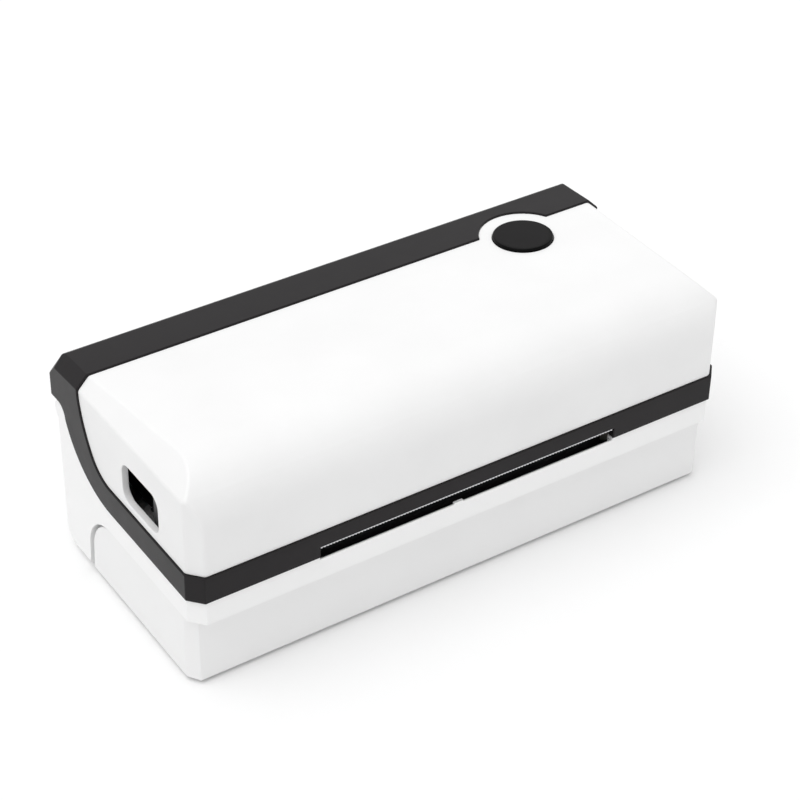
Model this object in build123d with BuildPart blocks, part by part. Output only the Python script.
from build123d import *
from math import acos, atan2, cos, hypot, pi, radians, sin, sqrt, tan
import os

# A desktop label printer: a white cover with a dark proud frame, hinged at the back of a white lower
# housing that stands on an inset plinth. Labels enter at the back, run over a flat deck between two
# guides, pass between a sprung print head and a rubber platen, and leave by a slot at the front.
# Frame: X along the length, the front faces -Y, Z up. The origin is on the floor, under the middle.

# Overall sizes, over the dark frame
length = 215.0
depth = 96.0
foot_stand = 1.2

# Heights of the belt lines above the floor, and the sloping roof
rim_bottom = 28.6
seam_height = 38.1
band_height = 10.5
roof_back = 80.75
roof_slope = 3.5
roof_front_radius = 20.0

# Walls, steps and gaps
wall = 2.6
band_step = 0.65
seam_gap = 0.4
moving_gap = 0.4
bore_gap = 0.05

# Corner cuts of the cover and housing
corner_cut_x = 4.5
corner_cut_y = 5.1
rear_corner_cut = 2.0
roof_end_cut = 4.3
brow_cut_y = 3.4
brow_cut_z = 8.7
brow_round = 2.5
edge_round = 2.0

# Curves of the dark frame on the two ends, seen from the side
belt_bend_setback = 40.0
belt_mid_setback = 28.0
belt_mid_rise = 6.4
belt_end_rise = 24.6
strip_width = 20.2
belt_end_lean = 0.5

# Cover hinge
hinge_z = 58.8
hinge_rod_radius = 4.0
hinge_lip_gap = 0.5
hinge_pin_radius = 1.5
knuckle_end_gap = 22.5
knuckle_length = 25.0
knuckle_proud = 0.6
hinge_pin_grip = 8.0

# Rear of the lower housing and its end arches
rear_inset = 1.0
rear_foot_radius = 8.0
arch_radius = 17.5
arch_start_setback = 38.0
leg_depth = 19.5

# Plinth
plinth_end_inset = 0.4
plinth_front_inset = 4.6
plinth_cut_x = 3.0
plinth_cut_y = 4.5
plinth_round = 1.2
plinth_wall = 2.0
arch_gap = 1.8
well_margin = 5.0
well_rear_gap = 2.5

# Label slot, tear bar and label path
slot_half = 60.0
slot_drop = 1.2
slot_land = 0.5
slot_fall = 2.6
slot_rise = 3.5
path_rise = 2.3
tear_bar_thickness = 0.8
tear_bar_grip = 3.75
tear_bar_wing = 7.0
tear_screw_gap = 1.95
tear_screw_length = 5.0
tooth_pitch = 1.2
tooth_depth = 0.4
lift_rib_x = -5.0
lift_rib_width = 3.6
lift_rib_height = 0.5
rear_slot_height = 5.4
rear_slot_drop = 0.2

# Release windows in the cover ends
window_ahead = 10.5
window_behind = 13.8
window_low = 51.5
window_high = 66.9
window_radius = 4.5

# Feed button and its lobe
button_end_gap = 39.7
button_setback = 27.7
button_radius = 10.9
button_gap = 0.2
button_proud = 1.1
button_skirt = 3.4
button_travel = 1.0
button_stem_radius = 2.5
button_stem_length = 7.0
button_wall = 2.0
button_edge = 0.5
button_flange = 1.2
button_flange_thickness = 1.0
button_spring_radius = 4.7
lobe_shift_x = 1.0
lobe_shift_y = 1.3
lobe_radius = 16.0
button_board_length = 26.0
button_board_width = 18.0
board_leg_radius = 1.2
board_leg_inset = 2.0
switch_side = 5.2
switch_height = 3.5
switch_plunger = 1.0
switch_plunger_radius = 1.6

# Platen, bushes, side plates and gears
platen_setback = 15.0
platen_radius = 6.5
platen_reach = 1.0
platen_shaft_radius = 3.0
bush_radius = 5.0
bush_flange_radius = 6.2
bush_flange = 1.0
plate_reach = 6.5
plate_thickness = 1.5
plate_margin = 8.0
plate_head = 1.0
plate_corner = 3.0
shaft_tail = 3.0
chassis_drop = 3.6
chassis_post_inset = 16.5
chassis_post_ahead = 4.0
chassis_screw_length = 8.0
gear_module = 0.8
gear_width = 5.0
gear_gap = 3.0
platen_teeth = 20
idler_teeth = 24
pinion_teeth = 16
gear_backlash = 0.12
motor_behind = 27.0
motor_floor_gap = 0.9
motor_radius = 11.5
motor_length = 20.0
motor_shaft_radius = 1.5
motor_screw_spread = 9.0
motor_screw_depth = 4.0
motor_shaft_depth = 7.5
motor_cap_radius = 4.0
idler_pin_radius = 2.0
idler_pin_tail = 1.5
idler_collar = 1.2

# Print head
head_ahead = 6.0
head_behind = 14.0
head_board_thickness = 2.0
head_paper_gap = 0.15
heat_sink_height = 5.0
head_pivot_behind = 11.5
head_pivot_rise = 2.6
head_pivot_radius = 1.5
heater_margin = 4.0
heater_width = 2.0
heater_rise = 0.1
sink_groove_count = 3
sink_groove_start = 3.0
sink_groove_pitch = 3.2
sink_groove_width = 1.6
sink_groove_depth = 2.2
pivot_pin_seat = 6.0
pivot_pin_tail = 1.0
bracket_reach = 2.5
bracket_thickness = 1.2
bracket_margin = 1.0
bracket_ear_drop = 3.0
head_screw_x = 21.0
head_screw_tail = 2.0
head_spring_radius = 3.0
head_spring_spread = 42.0
head_spring_behind = 2.6
spring_wall = 0.8

# Cover liner
liner_height = 56.0
liner_thickness = 2.0
liner_end_gap = 9.25
liner_front_gap = 1.75
liner_rear_gap = 2.9
liner_wall_thickness = 1.2
liner_wall_drop = 16.0
liner_wall_rise = 12.0
liner_rib_count = 9
liner_rib_width = 1.6
liner_rib_inset = 4.0
liner_rib_clearance = 2.4
liner_post_inset = 5.0
liner_post_ahead = 7.0
liner_post_setback = 19.0
liner_screw_length = 8.0
post_pilot = 12.0

# Latch
latch_setback = 33.0
latch_z = 47.2
latch_shaft_radius = 2.5
lever_end_gap = 2.75
lever_thickness = 3.5
lever_width = 6.0
lever_top = 64.5
hook_clearance = 1.1
keeper_behind = 4.6
keeper_rise = 4.4
keeper_radius = 1.5
keeper_gap = 0.35
keeper_boss = 2.0
keeper_boss_half = 3.0
keeper_reach = 2.5
keeper_seat = 1.6
hook_relief = 0.9
latch_lug_setback = 12.0
latch_lug_width = 4.0
latch_lug_radius = 5.0
latch_spring_length = 5.0
latch_spring_radius = 3.8

# Label deck and guides
deck_reach = 3.5
deck_thickness = 2.0
deck_drop = 0.5
deck_behind = 13.0
deck_rear_gap = 0.4
deck_ledge_depth = 2.4
deck_ledge_thickness = 1.7
deck_post_inset = 7.0
deck_post_well_gap = 15.5
deck_post_behind = 6.0
post_radius = 3.0
guide_length = 30.0
guide_rest_inset = 5.0
guide_thickness = 2.0
guide_height = 4.2
guide_foot = 5.0
guide_foot_inset = 3.0
guide_foot_thickness = 1.2
guide_travel = 25.0
rack_setback = 39.0
rack_module = 1.0
guide_pinion_teeth = 14
rack_thickness = 2.0
rack_width = 4.0
rack_reach = 9.0
guide_stem_length = 4.0
guide_stem_inset = 0.4
guide_post_radius = 1.5
guide_post_head = 1.2
guide_post_head_gap = 0.2
sensor_x = -19.0
sensor_behind = 8.0
sensor_length = 10.0
sensor_width = 6.0
sensor_drop = 0.2
sensor_depth = 1.6

# Boards and sockets
board_thickness = 1.6
board_length = 100.0
board_motor_gap = 6.5
board_front_gap = 19.0
board_rear_gap = 30.0
board_stand = 3.0
board_post_margin = 4.5
port_board_height = 10.0
port_board_depth = 12.9
port_board_overhang = 5.0
port_post_setback = 5.4
port_post_sink = 0.5
port_setback = 1.0
port_recess = 0.3
jack_x = -62.0
jack_width = 9.0
jack_bore_radius = 3.1
jack_bore_depth = 11.0
jack_pin_radius = 1.0
tongue_recess = 1.5
usb_x = -32.0
usb_width = 12.0
port_body_height = 11.0
usb_socket_width = 8.4
usb_socket_height = 7.8
usb_socket_depth = 9.0
usb_tongue_width = 5.6
usb_tongue_height = 2.8
rocker_x = 40.0
rocker_width = 10.0
rocker_height = 15.0
rocker_frame = 3.0
rocker_lip = 1.0
rocker_lip_thickness = 0.6
rocker_depth = 8.0
rocker_side_gap = 0.2
rocker_end_gap = 0.4
rocker_pivot_depth = 3.5
rocker_pivot_radius = 1.0
rocker_pivot_end_gap = 0.5
rocker_front = 2.7
rocker_shoulder = 1.5
rocker_back = 3.0
rocker_back_half = 4.0
rocker_tilt = 8.0
rocker_dish = 1.0

# Fasteners and feet
screw_radius = 1.5
screw_head_radius = 2.8
screw_head_height = 1.6
screw_recess = 0.4
small_screw_radius = 1.0
small_head_radius = 1.8
small_head_height = 1.0
boss_radius = 3.6
boss_height = 4.0
foot_radius = 4.8
foot_recess = 1.0
foot_edge = 0.6
foot_end_gap = 13.5
foot_front_gap = 28.0
foot_rear_gap = 14.2
base_screw_end_gap = 15.5
base_screw_front_gap = 16.0
base_screw_arch_gap = 4.0

# Worked-out places of the casing
half_length = length / 2
half_depth = depth / 2
band_top = seam_height + band_height
slope = radians(roof_slope)
inner_step = band_step + wall
rim_top = seam_height - seam_gap
housing_floor = rim_bottom + wall
housing_end = half_length - band_step
housing_front = half_depth - band_step
rear_face = half_depth - rear_inset
rear_inside = rear_face - wall
belt_bend_y = half_depth - belt_bend_setback
belt_mid_y = half_depth - belt_mid_setback
strip_front_y = half_depth - strip_width
arch_start_y = half_depth - arch_start_setback
leg_front_y = half_depth - leg_depth
plinth_floor = foot_stand + plinth_wall
plinth_front = half_depth - plinth_front_inset
plinth_end = housing_end - plinth_end_inset
foot_x = half_length - foot_end_gap
foot_front_y = foot_front_gap - half_depth
foot_rear_y = half_depth - foot_rear_gap
base_screw_x = half_length - base_screw_end_gap
base_screw_front_y = base_screw_front_gap - half_depth
base_screw_rear_y = arch_start_y - base_screw_arch_gap

# Worked-out places of the hinge and the latch
knuckle_radius = hinge_rod_radius + knuckle_proud
knuckle_clear = knuckle_radius + moving_gap
hinge_y = half_depth - knuckle_clear
lip_radius = hinge_rod_radius + hinge_lip_gap
knuckle_to = half_length - knuckle_end_gap
knuckle_from = knuckle_to - knuckle_length
pin_in = knuckle_from - hinge_pin_grip
pin_out = knuckle_to + hinge_pin_grip
latch_y = latch_setback - half_depth
latch_shaft_half = half_length - inner_step - lever_end_gap
lever_in = latch_shaft_half - lever_thickness
latch_lug_x = lever_in - latch_lug_setback
hook_bottom = housing_floor + hook_clearance
keeper_y = latch_y + keeper_behind
keeper_z = housing_floor + keeper_rise
window_front_y = latch_y - window_ahead
window_rear_y = latch_y + window_behind
button_x = half_length - button_end_gap
button_y = half_depth - button_setback
lobe_x = button_x + lobe_shift_x
lobe_y = button_y + lobe_shift_y
liner_half = half_length - inner_step - liner_end_gap
liner_front_y = inner_step + liner_front_gap - half_depth
liner_rear_y = hinge_y - lip_radius - wall - liner_rear_gap
liner_post_x = liner_half - liner_post_inset
liner_post_front_y = latch_y - liner_post_ahead
liner_post_rear_y = liner_rear_y - liner_post_setback

# Worked-out places of the slot, platen, head, deck and boards
slot_low = seam_height - slot_drop
slot_high = seam_height + slot_rise
path_height = slot_low + path_rise
tear_bar_rear = inner_step + tear_bar_grip - half_depth
tear_screw_x = slot_half + tear_bar_wing / 2
tear_screw_y = inner_step + tear_screw_gap - half_depth
platen_y = platen_setback - half_depth
platen_z = path_height - platen_radius
platen_half = slot_half + platen_reach
plate_x = slot_half + plate_reach
gear_x = plate_x + plate_thickness + gear_gap
chassis_low = platen_z - platen_radius - chassis_drop
chassis_post_x = plate_x - chassis_post_inset
chassis_post_y = platen_y - chassis_post_ahead
motor_y = platen_y + motor_behind
motor_z = plinth_floor + motor_floor_gap + motor_radius
well_rear_y = motor_y + motor_radius + well_rear_gap
well_step = plate_x - motor_length - shaft_tail
head_half = slot_half
head_front_y = platen_y - head_ahead
head_rear_y = platen_y + head_behind
head_low = path_height + head_paper_gap
sink_low = head_low + head_board_thickness
sink_top = sink_low + heat_sink_height
head_pivot_y = platen_y + head_pivot_behind
head_pivot_z = sink_low + head_pivot_rise
head_spring_y = platen_y + head_spring_behind
bracket_half = head_half + bracket_reach
bracket_low = liner_height - bracket_thickness
deck_half = slot_half + deck_reach
deck_top = path_height - deck_drop
deck_low = deck_top - deck_thickness
deck_front_y = platen_y + deck_behind
deck_post_left_x = deck_post_inset - slot_half
deck_post_right_x = well_step - deck_post_well_gap
deck_post_y = deck_front_y + deck_post_behind
rack_y = half_depth - rack_setback
guide_front_y = rack_y - guide_length / 2
guide_rear_y = rack_y + guide_length / 2
guide_rest_x = slot_half - guide_rest_inset
sensor_y = deck_front_y + sensor_behind
board_right_x = plate_x - motor_length - board_motor_gap
board_left_x = board_right_x - board_length
board_front_y = board_front_gap - half_depth
board_rear_y = half_depth - board_rear_gap
port_front_y = rear_inside - port_board_depth
port_post_y = rear_inside - port_post_setback
port_low = port_board_height + board_thickness
port_mid = port_low + port_body_height / 2

os.makedirs("parts", exist_ok=True)


def keep(builder, name):
    """Label a finished piece and write its file."""
    builder.part.label = name
    export_step(builder.part, f"parts/{name}.step")


def block(x_from, x_to, y_from, y_to, z_from, z_to, mode=Mode.ADD):
    """A box between two corners, joined to or cut from the piece being built."""
    with Locations(((x_from + x_to) / 2, (y_from + y_to) / 2, (z_from + z_to) / 2)):
        Box(abs(x_to - x_from), abs(y_to - y_from), abs(z_to - z_from), mode=mode)


def x_rod(y, z, x_from, x_to, radius, mode=Mode.ADD):
    """A round rod along X."""
    with Locations(((x_from + x_to) / 2, y, z)):
        Cylinder(radius, abs(x_to - x_from), rotation=(0, 90, 0), mode=mode)


def y_rod(x, z, y_from, y_to, radius, mode=Mode.ADD):
    """A round rod along Y."""
    with Locations((x, (y_from + y_to) / 2, z)):
        Cylinder(radius, abs(y_to - y_from), rotation=(90, 0, 0), mode=mode)


def z_rod(x, y, z_from, z_to, radius, mode=Mode.ADD):
    """A round rod along Z."""
    with Locations((x, y, (z_from + z_to) / 2)):
        Cylinder(radius, abs(z_to - z_from), mode=mode)


def roof_at(y, inset=0.0):
    """Height of the sloping roof over one place in depth."""
    return roof_back + (half_depth - y) * tan(slope) - inset


def roof_plane(x, y, inset=0.0):
    """A plane at one depth below the roof, with its normal pointing out of the cover."""
    surface = Plane(origin=(x, y, roof_at(y)), x_dir=(1, 0, 0), z_dir=(0, sin(slope), cos(slope)))
    return surface.offset(-inset)


def arrival(start, end):
    """Direction in which an arc that leaves start along +X arrives at end."""
    turn = 2 * atan2(end[1] - start[1], end[0] - start[0])
    return (cos(turn), sin(turn))


def trim_front_corners(front, end, cut_x, cut_y):
    """Cut the two upright front corners off the piece being built."""
    for side in (-1, 1):
        facet = Plane(origin=(side * end, cut_y - front, 0), z_dir=(side * cut_y, -cut_x, 0))
        split(bisect_by=facet, keep=Keep.BOTTOM)


def trim_roof_ends(end, height, lean):
    """Cut the long top edges over the two ends at 45 degrees."""
    for side in (-1, 1):
        facet = Plane(origin=(side * end, strip_front_y, height), z_dir=(side, sin(lean), cos(lean)))
        split(bisect_by=facet, keep=Keep.BOTTOM)


def trim_brow_corners(end, rear):
    """Cut the small facet where the roof, the end and the back meet."""
    for side in (-1, 1):
        upper = Vector(side * (end - roof_end_cut), rear - brow_cut_y, roof_at(rear - brow_cut_y))
        outer = Vector(side * end, rear - roof_end_cut, roof_at(rear - roof_end_cut) - roof_end_cut)
        lower = Vector(side * end, rear, roof_at(rear) - brow_cut_z)
        normal = (outer - upper).cross(lower - upper)
        outward = normal if normal.Y > 0 else -normal
        split(bisect_by=Plane(origin=upper, z_dir=outward), keep=Keep.BOTTOM)


def cover_form(inset):
    """Outer form of the cover, drawn in by one inset at the front, ends, back and roof."""
    front = half_depth - inset
    lip_mid = lip_radius * sqrt(0.5)
    with BuildPart() as form:
        with BuildSketch(Plane.YZ) as side:
            with BuildLine():
                Line((-front, seam_height), (belt_bend_y, seam_height))
                TangentArc((belt_bend_y, seam_height), (hinge_y - lip_radius, hinge_z), tangent=(1, 0))
                ThreePointArc(
                    (hinge_y - lip_radius, hinge_z),
                    (hinge_y - lip_mid, hinge_z + lip_mid),
                    (hinge_y, hinge_z + lip_radius),
                )
                Polyline(
                    (hinge_y, hinge_z + lip_radius),
                    (front, hinge_z + lip_radius),
                    (front, roof_at(front, inset) - brow_cut_z),
                    (front - brow_cut_y, roof_at(front - brow_cut_y, inset)),
                    (-front, roof_at(-front, inset)),
                    (-front, seam_height),
                )
            make_face()
            fillet(side.vertices().sort_by(Axis.Y)[-1], roof_front_radius - inset)
        extrude(amount=half_length - inset, both=True)
        trim_front_corners(front, half_length - inset, corner_cut_x, corner_cut_y)
    return form.part


def cover_hollow():
    """The space inside the cover's walls, open below."""
    front = half_depth - inner_step
    end = half_length - inner_step
    shelf = lip_radius + wall
    edge_height = roof_at(strip_front_y, inner_step) - roof_end_cut
    with BuildPart() as hollow:
        with BuildSketch(Plane.YZ) as side:
            with BuildLine():
                Polyline(
                    (-front, rim_bottom),
                    (hinge_y - shelf, rim_bottom),
                    (hinge_y - shelf, hinge_z + shelf),
                    (front, hinge_z + shelf),
                    (front, roof_at(front, inner_step) - brow_cut_z),
                    (front - brow_cut_y, roof_at(front - brow_cut_y, inner_step)),
                    (-front, roof_at(-front, inner_step)),
                    close=True,
                )
            make_face()
            fillet(side.vertices().sort_by(Axis.Y)[-1], roof_front_radius - inner_step)
        extrude(amount=end, both=True)
        trim_front_corners(front, end, corner_cut_x, corner_cut_y)
        trim_roof_ends(end, edge_height, 0.0)
        trim_roof_ends(end, edge_height, slope)
    return hollow.part


def dark_zone():
    """The part of the cover that the dark frame takes: a belt, two swept ends and the back strip."""
    bend = (belt_bend_y, band_top)
    mid = (belt_mid_y, band_top + belt_mid_rise)
    top = (strip_front_y - belt_end_lean, band_top + belt_end_rise)
    with BuildPart() as zone:
        with BuildSketch(Plane.YZ):
            with BuildLine():
                Polyline((-depth, 0), (-depth, band_top), bend)
                TangentArc(bend, mid, tangent=(1, 0))
                TangentArc(mid, top, tangent=arrival(bend, mid))
                Polyline(top, (strip_front_y, roof_at(0)), (strip_front_y, length))
                Polyline((strip_front_y, length), (depth, length), (depth, 0), (-depth, 0))
            make_face()
        extrude(amount=length, both=True)
        with BuildSketch(roof_plane(lobe_x, lobe_y)):
            Circle(lobe_radius)
        extrude(amount=inner_step, both=True, mode=Mode.SUBTRACT)
    return zone.part


def gear_outline(teeth, module, phase, backlash):
    """Corner points of an involute gear about the origin, with one tooth centred at phase."""
    pitch = teeth * module / 2
    base = pitch * cos(radians(20))
    radii = [max(pitch - 1.25 * module, 0.1), base, pitch - 0.3 * module, pitch, pitch + 0.5 * module]
    radii = sorted(r for r in radii if r >= base or r == radii[0]) + [pitch + 0.9 * module]
    involute = tan(radians(20)) - radians(20)
    points = []
    for tooth in range(teeth):
        centre = phase + tooth * 2 * pi / teeth
        flank = []
        for radius in radii:
            angle = acos(min(1.0, base / max(radius, base)))
            half = pi / (2 * teeth) - backlash / (2 * pitch) + involute - (tan(angle) - angle)
            flank.append((radius, half))
        for radius, half in flank:
            points.append((radius * cos(centre - half), radius * sin(centre - half)))
        for radius, half in reversed(flank):
            points.append((radius * cos(centre + half), radius * sin(centre + half)))
    return points


def meshed_phase(driver_phase, driver_teeth, direction, teeth):
    """Phase of a gear whose tooth gaps face the teeth of its neighbour in the given direction."""
    share = (direction - driver_phase) * driver_teeth / (2 * pi)
    return direction + pi - (0.5 - share) * 2 * pi / teeth


def rack_outline(x_from, x_to, pitch_line, side):
    """Corner points of a toothed bar along X whose teeth point to the given side in Y."""
    pitch = pi * rack_module
    root = pitch_line - side * 1.25 * rack_module
    tip = pitch_line + side * 0.9 * rack_module
    lean = tan(radians(20))
    points = [(x_from, root - side * rack_width), (x_from, root)]
    count = int((x_to - x_from) // pitch) - 1
    first = -(int(-x_from // pitch)) * pitch + pitch / 2
    for tooth in range(count):
        middle = first + tooth * pitch
        if middle + pitch / 2 > x_to:
            break
        half_tip = pitch / 4 - gear_backlash / 2 - lean * 0.9 * rack_module
        half_root = pitch / 4 - gear_backlash / 2 + lean * 1.25 * rack_module
        points += [(middle - half_root, root), (middle - half_tip, tip)]
        points += [(middle + half_tip, tip), (middle + half_root, root)]
    points += [(x_to, root), (x_to, root - side * rack_width)]
    return points


# Cover shell: the white top, front and ends, with the button's lobe running back into the dark strip
with BuildPart() as cover_shell:
    add(cover_form(band_step))
    trim_roof_ends(housing_end, roof_at(strip_front_y, band_step) - roof_end_cut, 0.0)
    corners = cover_shell.edges().filter_by(Axis.X, reverse=True)
    corners = corners.filter_by_position(Axis.Y, -half_depth, strip_front_y)
    fillet(corners.filter_by_position(Axis.Z, band_top, 2 * roof_back), edge_round)
    add(cover_hollow(), mode=Mode.SUBTRACT)
    add(dark_zone(), mode=Mode.SUBTRACT)
    with BuildSketch(Plane.YZ):
        with Locations(((window_front_y + window_rear_y) / 2, (window_low + window_high) / 2)):
            RectangleRounded(window_rear_y - window_front_y, window_high - window_low, window_radius)
    extrude(amount=length, both=True, mode=Mode.SUBTRACT)
    with BuildSketch(roof_plane(button_x, button_y)):
        Circle(button_radius + button_gap)
    extrude(amount=inner_step + wall, both=True, mode=Mode.SUBTRACT)
    for post_x in (-liner_post_x, liner_post_x):
        for post_y in (liner_post_front_y, liner_post_rear_y):
            post_top = roof_at(post_y, band_step) - wall / 2
            z_rod(post_x, post_y, liner_height + liner_thickness, post_top, boss_radius)
            z_rod(post_x, post_y, liner_height, liner_height + post_pilot, screw_radius, Mode.SUBTRACT)
keep(cover_shell, "cover_shell")

# Cover frame: the dark belt with the slot in its front, the swept ends, the back strip and the brow
with BuildPart() as cover_frame:
    add(cover_form(0.0))
    fillet(cover_frame.edges().filter_by(Axis.X).group_by(Axis.Y)[-2], brow_round)
    trim_roof_ends(half_length, roof_at(strip_front_y) - roof_end_cut, slope)
    trim_brow_corners(half_length, half_depth)
    add(cover_hollow(), mode=Mode.SUBTRACT)
    add(dark_zone(), mode=Mode.INTERSECT)
    ledge_low = slot_high + tear_bar_thickness
    block(-slot_half, slot_half, -depth, -plinth_front, 0, ledge_low, Mode.SUBTRACT)
    for side in (-1, 1):
        ledge_in = side * slot_half
        ledge_out = side * (slot_half + tear_bar_wing)
        block(ledge_in, ledge_out, inner_step - half_depth, tear_bar_rear, ledge_low, band_top)
        pilot_top = ledge_low + tear_screw_length
        z_rod(side * tear_screw_x, tear_screw_y, ledge_low, pilot_top, small_screw_radius, Mode.SUBTRACT)
        knuckle_in = side * knuckle_from
        knuckle_out = side * knuckle_to
        x_rod(hinge_y, hinge_z, knuckle_in, knuckle_out, knuckle_radius)
        x_rod(hinge_y, hinge_z, knuckle_in, knuckle_out, hinge_pin_radius + bore_gap, Mode.SUBTRACT)
keep(cover_frame, "cover_frame")

# Tear bar: a steel strip along the top of the label slot, with a toothed front edge
bar_end = slot_half - moving_gap / 4
wing_end = slot_half + tear_bar_wing
wing_front = -half_depth + inner_step
bar_front = -half_depth + band_step / 2
tooth_count = round(2 * bar_end / tooth_pitch)
tooth_places = [-bar_end + tooth * 2 * bar_end / tooth_count for tooth in range(tooth_count)]
tooth_corners = []
for tooth_x in tooth_places:
    tooth_corners += [(tooth_x, bar_front + tooth_depth), (tooth_x + bar_end / tooth_count, bar_front)]
with BuildPart() as tear_bar:
    with BuildSketch(Plane.XY.offset(slot_high)):
        with BuildLine():
            Polyline(
                *tooth_corners,
                (bar_end, bar_front + tooth_depth),
                (bar_end, wing_front),
                (wing_end, wing_front),
                (wing_end, tear_bar_rear),
                (-wing_end, tear_bar_rear),
                (-wing_end, wing_front),
                (-bar_end, wing_front),
                close=True,
            )
        make_face()
    extrude(amount=tear_bar_thickness)
    for side in (-1, 1):
        z_rod(side * tear_screw_x, tear_screw_y, slot_high, ledge_low, small_screw_radius, Mode.SUBTRACT)
keep(tear_bar, "tear_bar")

with BuildPart() as tear_bar_screws:
    for side in (-1, 1):
        z_rod(side * tear_screw_x, tear_screw_y, slot_high, slot_high + tear_screw_length, small_screw_radius)
        z_rod(side * tear_screw_x, tear_screw_y, slot_high - small_head_height, slot_high, small_head_radius)
keep(tear_bar_screws, "tear_bar_screws")

# Cover liner: the inner tray of the cover, with end walls that stop the view through the windows,
# ribs over the label path and lugs for the latch shaft
liner_top = liner_height + liner_thickness
rib_low = deck_top + guide_height + liner_rib_clearance
rib_spread = 2 * (slot_half - liner_rib_inset)
liner_wall_low = liner_height - liner_wall_drop
liner_wall_top = liner_top + liner_wall_rise
with BuildPart() as cover_liner:
    block(-liner_half, liner_half, liner_front_y, liner_rear_y, liner_height, liner_top)
    for side in (-1, 1):
        wall_in = side * (liner_half - liner_wall_thickness)
        wall_out = side * liner_half
        block(wall_in, wall_out, liner_front_y, liner_rear_y, liner_wall_low, liner_wall_top)
        x_rod(latch_y, latch_z, wall_in, wall_out, latch_shaft_radius + moving_gap, Mode.SUBTRACT)
        lug_in = side * (latch_lug_x - latch_lug_width / 2)
        lug_out = side * (latch_lug_x + latch_lug_width / 2)
        lug_front = latch_y - latch_lug_radius
        block(lug_in, lug_out, lug_front, lug_front + 2 * latch_lug_radius, latch_z, liner_height)
        x_rod(latch_y, latch_z, lug_in, lug_out, latch_lug_radius)
        x_rod(latch_y, latch_z, lug_in, lug_out, latch_shaft_radius + bore_gap, Mode.SUBTRACT)
        for post_y in (liner_post_front_y, liner_post_rear_y):
            z_rod(side * liner_post_x, post_y, liner_height, liner_top, screw_radius, Mode.SUBTRACT)
        for screw_y in (platen_y, head_pivot_y):
            z_rod(side * head_screw_x, screw_y, liner_height, liner_top, screw_radius, Mode.SUBTRACT)
    for rib in range(liner_rib_count):
        rib_left = -rib_spread / 2 + rib * rib_spread / (liner_rib_count - 1) - liner_rib_width / 2
        rib_front = latch_y + latch_lug_radius
        block(rib_left, rib_left + liner_rib_width, rib_front, liner_rear_y, rib_low, liner_height)
keep(cover_liner, "cover_liner")

with BuildPart() as liner_screws:
    for post_x in (-liner_post_x, liner_post_x):
        for post_y in (liner_post_front_y, liner_post_rear_y):
            z_rod(post_x, post_y, liner_height, liner_height + liner_screw_length, screw_radius)
            z_rod(post_x, post_y, liner_height - screw_head_height, liner_height, screw_head_radius)
keep(liner_screws, "liner_screws")

# Print head: a sheet bracket under the liner, and a heat sink with its ceramic board on two pivots
with BuildPart() as head_bracket:
    bracket_front = head_front_y - bracket_margin
    bracket_rear = head_rear_y + bracket_margin
    block(-bracket_half, bracket_half, bracket_front, bracket_rear, bracket_low, liner_height)
    for side in (-1, 1):
        ear_in = side * (bracket_half - bracket_thickness)
        ear_out = side * bracket_half
        ear_low = head_pivot_z - bracket_ear_drop
        block(ear_in, ear_out, bracket_front, bracket_rear, ear_low, liner_height)
        x_rod(head_pivot_y, head_pivot_z, ear_in, ear_out, head_pivot_radius + bore_gap, Mode.SUBTRACT)
        for screw_y in (platen_y, head_pivot_y):
            z_rod(side * head_screw_x, screw_y, bracket_low, liner_height, screw_radius, Mode.SUBTRACT)
keep(head_bracket, "head_bracket")

with BuildPart() as head_screws:
    for side in (-1, 1):
        for screw_y in (platen_y, head_pivot_y):
            screw_x = side * head_screw_x
            z_rod(screw_x, screw_y, bracket_low, liner_top, screw_radius)
            z_rod(screw_x, screw_y, bracket_low - screw_head_height, bracket_low, screw_head_radius)
            z_rod(screw_x, screw_y, liner_top, liner_top + head_screw_tail, screw_head_radius)
keep(head_screws, "head_screws")

with BuildPart() as heat_sink:
    block(-head_half, head_half, head_front_y, head_rear_y, sink_low, sink_top)
    for groove in range(sink_groove_count):
        groove_front = head_front_y + sink_groove_start + groove * sink_groove_pitch
        groove_rear = groove_front + sink_groove_width
        groove_low = sink_top - sink_groove_depth
        block(-head_half, head_half, groove_front, groove_rear, groove_low, sink_top, Mode.SUBTRACT)
    for side in (-1, 1):
        seat_in = side * (head_half - pivot_pin_seat)
        x_rod(head_pivot_y, head_pivot_z, seat_in, side * head_half, head_pivot_radius, Mode.SUBTRACT)
keep(heat_sink, "heat_sink")

with BuildPart() as print_head:
    block(-head_half, head_half, head_front_y, head_rear_y, head_low, sink_low)
    heater_half = head_half - heater_margin
    heater_front = platen_y - heater_width / 2
    heater_low = head_low - heater_rise
    block(-heater_half, heater_half, heater_front, heater_front + heater_width, heater_low, head_low)
keep(print_head, "print_head")

with BuildPart() as head_pivot_pins:
    for side in (-1, 1):
        seat_in = side * (head_half - pivot_pin_seat)
        x_rod(head_pivot_y, head_pivot_z, seat_in, side * (bracket_half + pivot_pin_tail), head_pivot_radius)
keep(head_pivot_pins, "head_pivot_pins")

with BuildPart() as head_springs:
    for place in (-1, 0, 1):
        spring_x = place * head_spring_spread
        z_rod(spring_x, head_spring_y, sink_top, bracket_low, head_spring_radius)
        z_rod(spring_x, head_spring_y, sink_top, bracket_low, head_spring_radius - spring_wall, Mode.SUBTRACT)
keep(head_springs, "head_springs")

# Latch: a cross shaft with a finger lever and a hook at each end, and its return spring
with BuildPart() as latch_shaft:
    x_rod(latch_y, latch_z, -lever_in - moving_gap, lever_in + moving_gap, latch_shaft_radius)
keep(latch_shaft, "latch_shaft")

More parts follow.
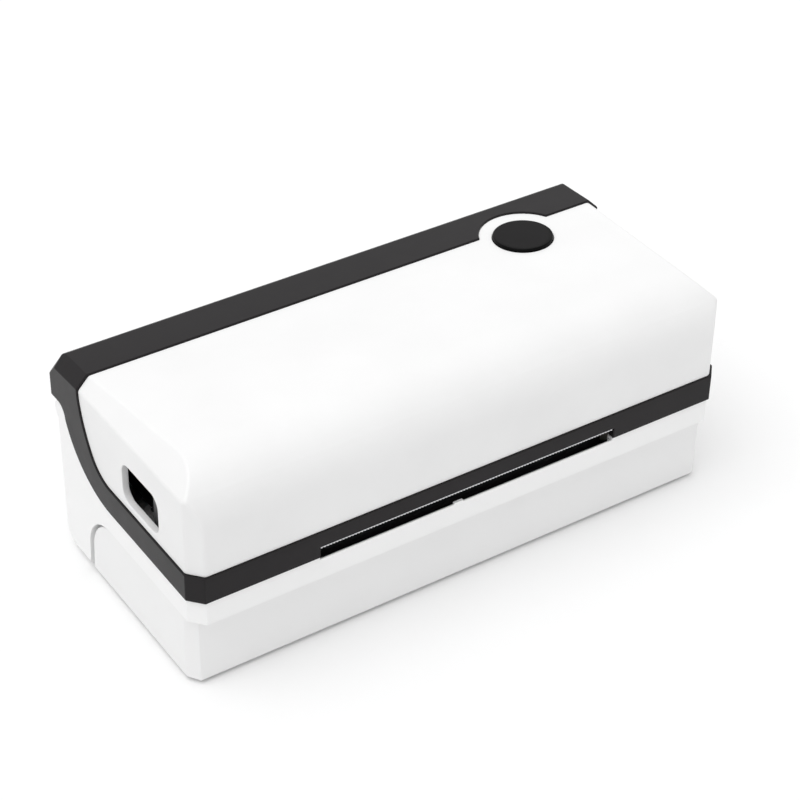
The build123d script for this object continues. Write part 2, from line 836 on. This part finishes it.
# The hook's flank leans a little less than the path of the keeper past it as the cover swings open
flank_y = keeper_y - keeper_radius - keeper_gap
hook_lean = hook_relief * (hinge_z - keeper_z) / (hinge_y - keeper_y)
for side, lever_name in ((-1, "latch_lever_left"), (1, "latch_lever_right")):
    shaft_seat = side * (lever_in + moving_gap)
    with BuildPart() as lever:
        with BuildSketch(Plane.YZ.offset(min(side * lever_in, side * latch_shaft_half))):
            with BuildLine():
                Polyline(
                    (latch_y - lever_width / 2, lever_top),
                    (latch_y + lever_width / 2, lever_top),
                    (latch_y + lever_width / 2, keeper_z),
                    (flank_y, keeper_z),
                    (flank_y + hook_lean * (keeper_z - hook_bottom), hook_bottom),
                    (latch_y, hook_bottom),
                    (latch_y - lever_width / 2, hook_bottom + lever_width / 2),
                    close=True,
                )
            make_face()
        extrude(amount=latch_shaft_half - lever_in)
        x_rod(latch_y, latch_z, side * lever_in, shaft_seat, latch_shaft_radius, Mode.SUBTRACT)
    keep(lever, lever_name)

with BuildPart() as latch_spring:
    spring_from = latch_lug_x + latch_lug_width / 2 + moving_gap
    spring_to = spring_from + latch_spring_length
    x_rod(latch_y, latch_z, spring_from, spring_to, latch_spring_radius)
    x_rod(latch_y, latch_z, spring_from, spring_to, latch_shaft_radius + moving_gap, Mode.SUBTRACT)
keep(latch_spring, "latch_spring")

# Feed button: a flat round cap with a skirt, a flange that holds it in, and a stem over a small switch
with BuildPart() as feed_button:
    with BuildSketch(roof_plane(button_x, button_y, band_step - button_proud)):
        Circle(button_radius)
    extrude(amount=-(button_proud + button_skirt))
    fillet(feed_button.edges().sort_by(Axis.Z)[-1], button_edge)
    with BuildSketch(roof_plane(button_x, button_y, inner_step + bore_gap)):
        Circle(button_radius + button_flange)
    extrude(amount=-button_flange_thickness)
    with BuildSketch(roof_plane(button_x, button_y, inner_step)):
        Circle(button_radius - button_wall)
    extrude(amount=-button_skirt, mode=Mode.SUBTRACT)
    with BuildSketch(roof_plane(button_x, button_y, inner_step)):
        Circle(button_stem_radius)
    extrude(amount=-button_stem_length)
keep(feed_button, "feed_button")

switch_top = inner_step + button_stem_length + button_travel + bore_gap
board_top = switch_top + switch_height
with BuildPart() as feed_switch:
    with BuildSketch(roof_plane(button_x, button_y, switch_top)):
        Circle(switch_plunger_radius)
    extrude(amount=-switch_plunger)
    with BuildSketch(roof_plane(button_x, button_y, switch_top + switch_plunger)):
        Rectangle(switch_side, switch_side)
    extrude(amount=-(switch_height - switch_plunger))
keep(feed_switch, "feed_switch")

with BuildPart() as button_board:
    with BuildSketch(roof_plane(button_x, button_y, board_top)):
        Rectangle(button_board_length, button_board_width)
    extrude(amount=-board_thickness)
    for corner_x in (-1, 1):
        for corner_y in (-1, 1):
            leg_x = button_x + corner_x * (button_board_length / 2 - board_leg_inset)
            leg_y = button_y + corner_y * (button_board_width / 2 - board_leg_inset)
            z_rod(leg_x, leg_y, liner_top, roof_at(leg_y, board_top + board_thickness / 2), board_leg_radius)
keep(button_board, "button_board")

with BuildPart() as button_spring:
    with BuildSketch(roof_plane(button_x, button_y, inner_step)):
        Circle(button_spring_radius)
        Circle(button_spring_radius - spring_wall, mode=Mode.SUBTRACT)
    extrude(amount=-(board_top - inner_step))
keep(button_spring, "button_spring")

# Lower housing: the white rim, the arched ends with their back feet, the back wall and the hinge rod
seam_end = (hinge_y - hinge_rod_radius, hinge_z)
arch_top = (arch_start_y, rim_bottom)
arch_side = (arch_start_y + arch_radius, rim_bottom - arch_radius)
inner_arch_side = (arch_side[0] + wall, arch_side[1])
cavity_front = wall - housing_front


def housing_hollow():
    """The space inside the lower housing's walls, open above."""
    with BuildPart() as hollow:
        with BuildSketch(Plane.YZ):
            with BuildLine():
                Polyline((arch_start_y, housing_floor), (cavity_front, housing_floor), (cavity_front, depth))
                Polyline((cavity_front, depth), (rear_inside, depth), (rear_inside, foot_stand + wall))
                Line((rear_inside, foot_stand + wall), (leg_front_y + wall, foot_stand + wall))
                Line((leg_front_y + wall, foot_stand + wall), inner_arch_side)
                TangentArc((arch_start_y, housing_floor), inner_arch_side, tangent=(1, 0))
            make_face()
        extrude(amount=housing_end - wall, both=True)
        trim_front_corners(-cavity_front, housing_end - wall, corner_cut_x, corner_cut_y)
    return hollow.part


with BuildPart() as lower_housing:
    with BuildSketch(Plane.YZ) as side_view:
        with BuildLine():
            Polyline(arch_top, (-housing_front, rim_bottom), (-housing_front, rim_top))
            Line((-housing_front, rim_top), (belt_bend_y, rim_top))
            TangentArc((belt_bend_y, rim_top), seam_end, tangent=(1, 0))
            Polyline(seam_end, (rear_face, hinge_z), (rear_face, foot_stand))
            Polyline((rear_face, foot_stand), (leg_front_y, foot_stand), arch_side)
            TangentArc(arch_top, arch_side, tangent=(1, 0))
        make_face()
        rear_foot = side_view.vertices().group_by(Axis.X)[-1].sort_by(Axis.Y)[0]
        fillet(rear_foot, rear_foot_radius)
    extrude(amount=housing_end, both=True)
    trim_front_corners(housing_front, housing_end, corner_cut_x, corner_cut_y)
    chamfer(lower_housing.edges().filter_by(Axis.Z).group_by(Axis.Y)[-1], rear_corner_cut)
    add(housing_hollow(), mode=Mode.SUBTRACT)
    x_rod(hinge_y, hinge_z, -housing_end, housing_end, hinge_rod_radius)
    for side in (-1, 1):
        pocket_in = side * (knuckle_from - moving_gap)
        pocket_out = side * (knuckle_to + moving_gap)
        pocket_low = hinge_z - knuckle_clear
        pocket_high = hinge_z + knuckle_clear
        x_rod(hinge_y, hinge_z, pocket_in, pocket_out, knuckle_clear, Mode.SUBTRACT)
        block(pocket_in, pocket_out, hinge_y, half_depth, pocket_low, pocket_high, Mode.SUBTRACT)
        x_rod(hinge_y, hinge_z, side * pin_in, side * pin_out, hinge_pin_radius, Mode.SUBTRACT)
        boss_out = side * (housing_end - wall)
        boss_in = side * (housing_end - wall - keeper_boss)
        boss_front = keeper_y - keeper_boss_half
        block(boss_in, boss_out, boss_front, boss_front + 2 * keeper_boss_half, housing_floor, rim_top)
        keeper_in = side * (lever_in - keeper_reach)
        x_rod(keeper_y, keeper_z, keeper_in, boss_out + side * keeper_seat, keeper_radius, Mode.SUBTRACT)
    rear_slot_low = path_height - rear_slot_drop
    block(
        -slot_half, slot_half, rear_inside - 1, half_depth,
        rear_slot_low, rear_slot_low + rear_slot_height, Mode.SUBTRACT,
    )
    ledge_front = rear_inside - deck_ledge_depth
    block(-deck_half, deck_half, ledge_front, rear_inside, deck_low - deck_ledge_thickness, deck_low)
    with BuildSketch(Plane.YZ):
        with BuildLine():
            Polyline(
                (-depth, slot_low),
                (slot_land - housing_front, slot_low),
                (cavity_front, slot_low - slot_fall),
                (cavity_front, depth),
                (-depth, depth),
                close=True,
            )
        make_face()
    extrude(amount=slot_half, both=True, mode=Mode.SUBTRACT)
    lift_rib_left = lift_rib_x - lift_rib_width / 2
    block(
        lift_rib_left, lift_rib_left + lift_rib_width, -housing_front, 2 * slot_land - housing_front,
        slot_low - slot_fall, slot_low + lift_rib_height,
    )
    well_front = moving_gap - plinth_front
    well_left = -plate_x - plate_thickness - well_margin
    well_right = gear_x + gear_width + well_margin
    block(well_left, well_right, well_front, deck_front_y, rim_bottom, housing_floor, Mode.SUBTRACT)
    block(well_step, well_right, well_front, well_rear_y, rim_bottom, housing_floor, Mode.SUBTRACT)
    for side in (-1, 1):
        for screw_y in (base_screw_front_y, base_screw_rear_y):
            screw_top = housing_floor + boss_height
            z_rod(side * base_screw_x, screw_y, rim_bottom, screw_top, boss_radius)
            z_rod(side * base_screw_x, screw_y, rim_bottom, screw_top, screw_radius, Mode.SUBTRACT)
        z_rod(side * foot_x, foot_rear_y, foot_stand, foot_stand + foot_recess, foot_radius, Mode.SUBTRACT)
    cut_front = rear_inside - port_setback
    y_rod(jack_x, port_mid, cut_front, half_depth, jack_width / 2, Mode.SUBTRACT)
    usb_left = usb_x - usb_width / 2
    usb_top = port_low + port_body_height
    block(usb_left, usb_left + usb_width, cut_front, half_depth, port_low, usb_top, Mode.SUBTRACT)
    frame_left = rocker_x - rocker_width / 2 - rocker_frame
    frame_right = rocker_x + rocker_width / 2 + rocker_frame
    frame_low = port_mid - rocker_height / 2 - rocker_frame
    frame_high = port_mid + rocker_height / 2 + rocker_frame
    block(frame_left, frame_right, cut_front, half_depth, frame_low, frame_high, Mode.SUBTRACT)
    for post_x in (jack_x, usb_x):
        z_rod(post_x, port_post_y, foot_stand + wall - port_post_sink, port_board_height, post_radius)
keep(lower_housing, "lower_housing")

with BuildPart() as hinge_pins:
    for side in (-1, 1):
        x_rod(hinge_y, hinge_z, side * pin_in, side * pin_out, hinge_pin_radius)
keep(hinge_pins, "hinge_pins")

with BuildPart() as latch_keepers:
    for side in (-1, 1):
        keeper_in = side * (lever_in - keeper_reach)
        keeper_out = side * (housing_end - wall + keeper_seat)
        x_rod(keeper_y, keeper_z, keeper_in, keeper_out, keeper_radius)
keep(latch_keepers, "latch_keepers")

# Plinth: the inset bottom tray, with posts for the chassis and screws up into the housing
plinth_side = (arch_side[0] - arch_gap, arch_side[1])
tray_front = plinth_wall - plinth_front
tray_rear = plinth_side[0] - plinth_wall
tray_bend = (belt_bend_y - 1, rim_bottom - plinth_wall)


def plinth_hollow():
    """The space inside the tray's walls, open above."""
    with BuildPart() as hollow:
        with BuildSketch(Plane.YZ):
            with BuildLine():
                Polyline(tray_bend, (tray_bend[0], rim_bottom), (tray_front, rim_bottom))
                Polyline((tray_front, rim_bottom), (tray_front, plinth_floor), (tray_rear, plinth_floor))
                Line((tray_rear, plinth_floor), (tray_rear, plinth_side[1]))
                TangentArc(tray_bend, (tray_rear, plinth_side[1]), tangent=(1, 0))
            make_face()
        extrude(amount=plinth_end - plinth_wall, both=True)
        trim_front_corners(-tray_front, plinth_end - plinth_wall, plinth_cut_x, plinth_cut_y)
    return hollow.part


with BuildPart() as base_plinth:
    with BuildSketch(Plane.YZ):
        with BuildLine():
            Polyline((belt_bend_y, rim_bottom), (-plinth_front, rim_bottom), (-plinth_front, foot_stand))
            Polyline((-plinth_front, foot_stand), (leg_front_y - arch_gap, foot_stand), plinth_side)
            TangentArc((belt_bend_y, rim_bottom), plinth_side, tangent=(1, 0))
        make_face()
    extrude(amount=plinth_end, both=True)
    trim_front_corners(plinth_front, plinth_end, plinth_cut_x, plinth_cut_y)
    under_edges = base_plinth.edges().group_by(Axis.Z)[0]
    fillet(under_edges.filter_by_position(Axis.Y, -depth, belt_bend_y), plinth_round)
    add(plinth_hollow(), mode=Mode.SUBTRACT)
    for side in (-1, 1):
        for screw_y in (base_screw_front_y, base_screw_rear_y):
            recess_top = foot_stand + screw_recess + screw_head_height
            z_rod(side * base_screw_x, screw_y, foot_stand, rim_bottom, boss_radius)
            z_rod(side * base_screw_x, screw_y, foot_stand, rim_bottom, screw_radius, Mode.SUBTRACT)
            z_rod(side * base_screw_x, screw_y, foot_stand, recess_top, screw_head_radius, Mode.SUBTRACT)
        z_rod(side * foot_x, foot_front_y, foot_stand, foot_stand + foot_recess, foot_radius, Mode.SUBTRACT)
        z_rod(side * chassis_post_x, chassis_post_y, foot_stand, chassis_low, boss_radius)
        post_bottom = chassis_low - chassis_screw_length
        z_rod(side * chassis_post_x, chassis_post_y, post_bottom, chassis_low, screw_radius, Mode.SUBTRACT)
    for post_x in (board_left_x + board_post_margin, board_right_x - board_post_margin):
        for post_y in (board_front_y + board_post_margin, board_rear_y - board_post_margin):
            z_rod(post_x, post_y, foot_stand, plinth_floor + board_stand, post_radius)
keep(base_plinth, "base_plinth")

with BuildPart() as base_screws:
    for side in (-1, 1):
        for screw_y in (base_screw_front_y, base_screw_rear_y):
            head_bottom = foot_stand + screw_recess
            head_top = head_bottom + screw_head_height
            z_rod(side * base_screw_x, screw_y, head_bottom, head_top, screw_head_radius)
            z_rod(side * base_screw_x, screw_y, head_top, housing_floor + boss_height, screw_radius)
keep(base_screws, "base_screws")

with BuildPart() as rubber_feet:
    for side in (-1, 1):
        for place_y in (foot_front_y, foot_rear_y):
            z_rod(side * foot_x, place_y, 0, foot_stand + foot_recess, foot_radius)
    fillet(rubber_feet.edges().group_by(Axis.Z)[0], foot_edge)
keep(rubber_feet, "rubber_feet")

# Chassis: a bent sheet cradle with the left bush, and the right side plate that also holds the motor
plate_top = platen_z + bush_radius + plate_head
plate_front = platen_y - plate_margin
plate_rear = platen_y + plate_margin
plate_out = plate_x + plate_thickness
idler_span = gear_module * (platen_teeth + idler_teeth) / 2
pinion_span = gear_module * (idler_teeth + pinion_teeth) / 2
motor_span = hypot(motor_y - platen_y, motor_z - platen_z)
along = (idler_span**2 - pinion_span**2 + motor_span**2) / (2 * motor_span)
aside = sqrt(idler_span**2 - along**2)
toward_y = (motor_y - platen_y) / motor_span
toward_z = (motor_z - platen_z) / motor_span
idler_y = platen_y + along * toward_y + aside * toward_z
idler_z = platen_z + along * toward_z - aside * toward_y

with BuildPart() as platen_chassis:
    block(-plate_x, plate_x, plate_front, plate_rear, chassis_low, chassis_low + plate_thickness)
    block(-plate_out, -plate_x, plate_front, plate_rear, chassis_low, plate_top)
    x_rod(platen_y, platen_z, -plate_out, -plate_x, bush_radius, Mode.SUBTRACT)
    for side in (-1, 1):
        hole_top = chassis_low + plate_thickness
        z_rod(side * chassis_post_x, chassis_post_y, chassis_low, hole_top, screw_radius, Mode.SUBTRACT)
keep(platen_chassis, "platen_chassis")

with BuildPart() as motor_plate:
    plate_low = motor_z - motor_radius
    motor_rear = motor_y + motor_radius
    motor_top = motor_z + motor_radius
    with BuildSketch(Plane.YZ.offset(plate_x)):
        with BuildLine():
            Polyline(
                (plate_front, chassis_low),
                (plate_front, plate_top),
                (plate_rear, plate_top),
                (motor_rear - plate_corner, motor_top),
                (motor_rear, motor_top - plate_corner),
                (motor_rear, plate_low),
                (idler_y - plate_corner, plate_low),
                close=True,
            )
        make_face()
        with Locations((platen_y, platen_z)):
            Circle(bush_radius, mode=Mode.SUBTRACT)
        with Locations((motor_y, motor_z)):
            Circle(motor_shaft_radius * 2, mode=Mode.SUBTRACT)
        with Locations((idler_y, idler_z)):
            Circle(idler_pin_radius, mode=Mode.SUBTRACT)
        with Locations((motor_y, motor_z + motor_screw_spread), (motor_y, motor_z - motor_screw_spread)):
            Circle(small_screw_radius, mode=Mode.SUBTRACT)
    extrude(amount=plate_thickness)
keep(motor_plate, "motor_plate")

with BuildPart() as chassis_screws:
    for side in (-1, 1):
        screw_top = chassis_low + plate_thickness
        screw_x = side * chassis_post_x
        z_rod(screw_x, chassis_post_y, chassis_low - chassis_screw_length, screw_top, screw_radius)
        z_rod(screw_x, chassis_post_y, screw_top, screw_top + screw_head_height, screw_head_radius)
keep(chassis_screws, "chassis_screws")

with BuildPart() as platen_bushes:
    for side in (-1, 1):
        flange_in = side * (plate_x - bush_flange)
        barrel_out = side * (plate_out + bush_flange)
        x_rod(platen_y, platen_z, flange_in, side * plate_x, bush_flange_radius)
        x_rod(platen_y, platen_z, side * plate_x, barrel_out, bush_radius)
        x_rod(platen_y, platen_z, flange_in, barrel_out, platen_shaft_radius + bore_gap, Mode.SUBTRACT)
keep(platen_bushes, "platen_bushes")

# Platen: a steel shaft with its rubber sleeve and gear, then the idler and the motor with its pinion
with BuildPart() as platen_shaft:
    x_rod(platen_y, platen_z, -plate_out - shaft_tail, gear_x + gear_width + shaft_tail, platen_shaft_radius)
keep(platen_shaft, "platen_shaft")

with BuildPart() as platen_roller:
    x_rod(platen_y, platen_z, -platen_half, platen_half, platen_radius)
    x_rod(platen_y, platen_z, -platen_half, platen_half, platen_shaft_radius, Mode.SUBTRACT)
keep(platen_roller, "platen_roller")

to_idler = atan2(idler_z - platen_z, idler_y - platen_y)
to_motor = atan2(motor_z - idler_z, motor_y - idler_y)
idler_phase = meshed_phase(0.0, platen_teeth, to_idler, idler_teeth)
pinion_phase = meshed_phase(idler_phase, idler_teeth, to_motor, pinion_teeth)

with BuildPart() as platen_gear:
    with BuildSketch(Plane.YZ.offset(gear_x)):
        with Locations((platen_y, platen_z)):
            Polygon(*gear_outline(platen_teeth, gear_module, 0.0, gear_backlash), align=None)
            Circle(platen_shaft_radius, mode=Mode.SUBTRACT)
    extrude(amount=gear_width)
keep(platen_gear, "platen_gear")

with BuildPart() as idler_gear:
    with BuildSketch(Plane.YZ.offset(gear_x)):
        with Locations((idler_y, idler_z)):
            Polygon(*gear_outline(idler_teeth, gear_module, idler_phase, gear_backlash), align=None)
            Circle(idler_pin_radius + bore_gap, mode=Mode.SUBTRACT)
    extrude(amount=gear_width)
keep(idler_gear, "idler_gear")

with BuildPart() as idler_pin:
    gear_out = gear_x + gear_width
    x_rod(idler_y, idler_z, plate_x, gear_out + idler_pin_tail, idler_pin_radius)
    x_rod(idler_y, idler_z, plate_out, gear_x - moving_gap, idler_pin_radius + idler_collar)
    x_rod(idler_y, idler_z, gear_out + moving_gap, gear_out + idler_pin_tail, idler_pin_radius + idler_collar)
keep(idler_pin, "idler_pin")

with BuildPart() as stepper_motor:
    can_left = plate_x - motor_length
    bore_left = plate_x - motor_shaft_depth - moving_gap
    x_rod(motor_y, motor_z, can_left, plate_x, motor_radius)
    x_rod(motor_y, motor_z, bore_left, plate_x, motor_shaft_radius + bore_gap, Mode.SUBTRACT)
    x_rod(motor_y, motor_z, can_left - 1, can_left, motor_cap_radius)
    for side in (-1, 1):
        screw_z = motor_z + side * motor_screw_spread
        x_rod(motor_y, screw_z, plate_x - motor_screw_depth, plate_x, small_screw_radius, Mode.SUBTRACT)
keep(stepper_motor, "stepper_motor")

with BuildPart() as motor_screws:
    for side in (-1, 1):
        screw_z = motor_z + side * motor_screw_spread
        x_rod(motor_y, screw_z, plate_x - motor_screw_depth, plate_out, small_screw_radius)
        x_rod(motor_y, screw_z, plate_out, plate_out + small_head_height, small_head_radius)
keep(motor_screws, "motor_screws")

with BuildPart() as motor_pinion:
    with BuildSketch(Plane.YZ.offset(gear_x)):
        with Locations((motor_y, motor_z)):
            Polygon(*gear_outline(pinion_teeth, gear_module, pinion_phase, gear_backlash), align=None)
    extrude(amount=gear_width)
    x_rod(motor_y, motor_z, plate_x - motor_shaft_depth, gear_x + gear_width, motor_shaft_radius)
keep(motor_pinion, "motor_pinion")

# Label deck, its sensor, and the two guides on toothed bars that one small gear moves together
guide_pitch = rack_module * guide_pinion_teeth / 2
rack_top = deck_low - moving_gap
rack_low = rack_top - rack_thickness
rack_back = guide_pitch + 1.25 * rack_module
stem_near = rack_back + guide_stem_inset
stem_far = rack_back + rack_width - guide_stem_inset
sensor_box = (
    sensor_x - sensor_length / 2, sensor_x + sensor_length / 2,
    sensor_y - sensor_width / 2, sensor_y + sensor_width / 2,
)
with BuildPart() as label_deck:
    block(-deck_half, deck_half, deck_front_y, rear_inside - deck_rear_gap, deck_low, deck_top)
    for side in (-1, 1):
        slot_out = side * (guide_rest_x + guide_stem_length / 2 + moving_gap)
        slot_in = side * (guide_rest_x - guide_travel - guide_stem_length / 2 - moving_gap)
        slot_near = rack_y + side * (stem_near - moving_gap)
        slot_far = rack_y + side * (stem_far + moving_gap)
        block(slot_out, slot_in, slot_near, slot_far, deck_low, deck_top, Mode.SUBTRACT)
    block(*sensor_box, deck_low, deck_top, Mode.SUBTRACT)
    for post_x in (deck_post_left_x, deck_post_right_x):
        z_rod(post_x, deck_post_y, housing_floor, deck_low, post_radius)
    z_rod(0, rack_y, deck_low, deck_top, guide_post_radius, Mode.SUBTRACT)
keep(label_deck, "label_deck")

with BuildPart() as label_sensor:
    block(*sensor_box, deck_low - sensor_depth, deck_top - sensor_drop)
keep(label_sensor, "label_sensor")

with BuildPart() as guide_post:
    post_low = rack_low - guide_post_head_gap - guide_post_head
    z_rod(0, rack_y, post_low, deck_top, guide_post_radius)
    z_rod(0, rack_y, post_low, post_low + guide_post_head, guide_post_radius + guide_post_head)
keep(guide_post, "guide_post")

with BuildPart() as guide_pinion:
    with BuildSketch(Plane.XY.offset(rack_low)):
        with Locations((0, rack_y)):
            Polygon(*gear_outline(guide_pinion_teeth, rack_module, pi / 2, gear_backlash), align=None)
            Circle(guide_post_radius + bore_gap, mode=Mode.SUBTRACT)
    extrude(amount=rack_thickness)
keep(guide_pinion, "guide_pinion")

for side, guide_name in ((-1, "guide_left"), (1, "guide_right")):
    with BuildPart() as guide:
        stem_out = side * (guide_rest_x + guide_stem_length / 2)
        stem_in = side * (guide_rest_x - guide_stem_length / 2)
        rack_end = -side * rack_reach
        pitch_line = rack_y + side * guide_pitch
        plate_floor = deck_top + moving_gap / 2
        rack_left = min(stem_out, rack_end)
        rack_right = max(stem_out, rack_end)
        with BuildSketch(Plane.XY.offset(rack_low)):
            Polygon(*rack_outline(rack_left, rack_right, pitch_line, -side), align=None)
        extrude(amount=rack_thickness)
        block(stem_out, stem_in, rack_y + side * stem_near, rack_y + side * stem_far, rack_top, plate_floor)
        fence_in = side * (guide_rest_x - guide_thickness / 2)
        fence_out = side * (guide_rest_x + guide_thickness / 2)
        block(fence_in, fence_out, guide_front_y, guide_rear_y, plate_floor, plate_floor + guide_height)
        foot_out = side * (guide_rest_x + guide_foot)
        foot_front = guide_front_y + guide_foot_inset
        foot_rear = guide_rear_y - guide_foot_inset
        block(fence_out, foot_out, foot_front, foot_rear, plate_floor, plate_floor + guide_foot_thickness)
    keep(guide, guide_name)

# Electronics: the main board on the plinth floor, and the socket board behind the back wall
board_low = plinth_floor + board_stand
board_high = board_low + board_thickness
with BuildPart() as main_board:
    block(board_left_x, board_right_x, board_front_y, board_rear_y, board_low, board_high)
keep(main_board, "main_board")

# Chips and connectors as left, front, length, width and height, from the board's left front corner
processor = (30.0, 17.0, 14.0, 14.0, 1.4)
driver_chip = (62.0, 21.0, 10.0, 10.0, 1.2)
port_connector = (8.0, 39.0, 18.0, 5.0, 6.0)
head_connector = (50.0, 40.0, 26.0, 5.0, 5.0)
capacitor_x = board_left_x + 84.0
capacitor_front_y = board_front_y + 7.0
capacitor_pitch = 11.0
capacitor_radius = 4.0
capacitor_height = 9.0
capacitor_count = 3
resistor = (6.0, 5.0, 2.0, 4.0, 1.0)
resistor_pitch = 5.0
resistor_count = 5
with BuildPart() as board_parts:
    chips = (processor, driver_chip, port_connector, head_connector)
    for chip_left, chip_front, chip_length, chip_width, chip_height in chips:
        left = board_left_x + chip_left
        front = board_front_y + chip_front
        block(left, left + chip_length, front, front + chip_width, board_high, board_high + chip_height)
    for place in range(capacitor_count):
        capacitor_y = capacitor_front_y + place * capacitor_pitch
        z_rod(capacitor_x, capacitor_y, board_high, board_high + capacitor_height, capacitor_radius)
    for place in range(resistor_count):
        left = board_left_x + resistor[0] + place * resistor_pitch
        front = board_front_y + resistor[1]
        resistor_top = board_high + resistor[4]
        block(left, left + resistor[2], front, front + resistor[3], board_high, resistor_top)
keep(board_parts, "board_parts")

with BuildPart() as port_board:
    port_left = jack_x - jack_width / 2 - port_board_overhang
    port_right = usb_x + usb_width / 2 + port_board_overhang
    block(port_left, port_right, port_front_y, rear_inside - moving_gap, port_board_height, port_low)
keep(port_board, "port_board")

with BuildPart() as dc_jack:
    jack_left = jack_x - jack_width / 2
    jack_front = port_front_y + port_setback
    jack_rear = rear_inside - moving_gap
    bore_front = rear_face - jack_bore_depth
    block(jack_left, jack_left + jack_width, jack_front, jack_rear, port_low, port_low + port_body_height)
    y_rod(jack_x, port_mid, jack_rear, rear_face - port_recess, jack_width / 2)
    y_rod(jack_x, port_mid, bore_front, half_depth, jack_bore_radius, Mode.SUBTRACT)
    y_rod(jack_x, port_mid, bore_front, rear_face - tongue_recess, jack_pin_radius)
keep(dc_jack, "dc_jack")

with BuildPart() as usb_port:
    shell_front = port_front_y + port_setback
    socket_front = rear_face - usb_socket_depth
    socket_left = usb_x - usb_socket_width / 2
    socket_low = port_mid - usb_socket_height / 2
    tongue_left = usb_x - usb_tongue_width / 2
    tongue_low = port_mid - usb_tongue_height / 2
    tongue_right = tongue_left + usb_tongue_width
    tongue_rear = rear_face - tongue_recess
    block(usb_left, usb_left + usb_width, shell_front, rear_face - port_recess, port_low, usb_top)
    block(
        socket_left, socket_left + usb_socket_width, socket_front, half_depth,
        socket_low, socket_low + usb_socket_height, Mode.SUBTRACT,
    )
    block(tongue_left, tongue_right, socket_front, tongue_rear, tongue_low, tongue_low + usb_tongue_height)
keep(usb_port, "usb_port")

# Power switch: a frame in the back wall and a rocker that tilts about a cross pin
pivot_y = rear_face - rocker_pivot_depth
well_half_width = rocker_width / 2 + rocker_side_gap
well_half_height = rocker_height / 2 + rocker_end_gap
well_bottom_y = rear_face - rocker_depth
with BuildPart() as rocker_bezel:
    block(frame_left, frame_right, well_bottom_y - rocker_lip, rear_face, frame_low, frame_high)
    block(
        frame_left - rocker_lip, frame_right + rocker_lip, rear_face, rear_face + rocker_lip_thickness,
        frame_low - rocker_lip, frame_high + rocker_lip,
    )
    block(
        rocker_x - well_half_width, rocker_x + well_half_width, well_bottom_y, half_depth,
        port_mid - well_half_height, port_mid + well_half_height, Mode.SUBTRACT,
    )
    x_rod(pivot_y, port_mid, frame_left, frame_right, rocker_pivot_radius + bore_gap, Mode.SUBTRACT)
keep(rocker_bezel, "rocker_bezel")

face_y = pivot_y + rocker_front
shoulder_y = pivot_y - rocker_shoulder
back_y = pivot_y - rocker_back
rocker_low = port_mid - rocker_height / 2
rocker_high = port_mid + rocker_height / 2
with BuildPart() as rocker_upright:
    with BuildSketch(Plane.YZ.offset(rocker_x - rocker_width / 2)):
        with BuildLine():
            Polyline(
                (back_y, port_mid - rocker_back_half),
                (shoulder_y, rocker_low),
                (face_y, rocker_low),
                (face_y - rocker_dish, port_mid),
                (face_y, rocker_high),
                (shoulder_y, rocker_high),
                (back_y, port_mid + rocker_back_half),
                close=True,
            )
        make_face()
    extrude(amount=rocker_width)
    pin_end_gap = rocker_pivot_end_gap
    x_rod(pivot_y, port_mid, frame_left + pin_end_gap, frame_right - pin_end_gap, rocker_pivot_radius)
rocker_pivot = Axis((rocker_x, pivot_y, port_mid), (1, 0, 0))
with BuildPart() as power_rocker:
    add(rocker_upright.part.rotate(rocker_pivot, rocker_tilt))
keep(power_rocker, "power_rocker")
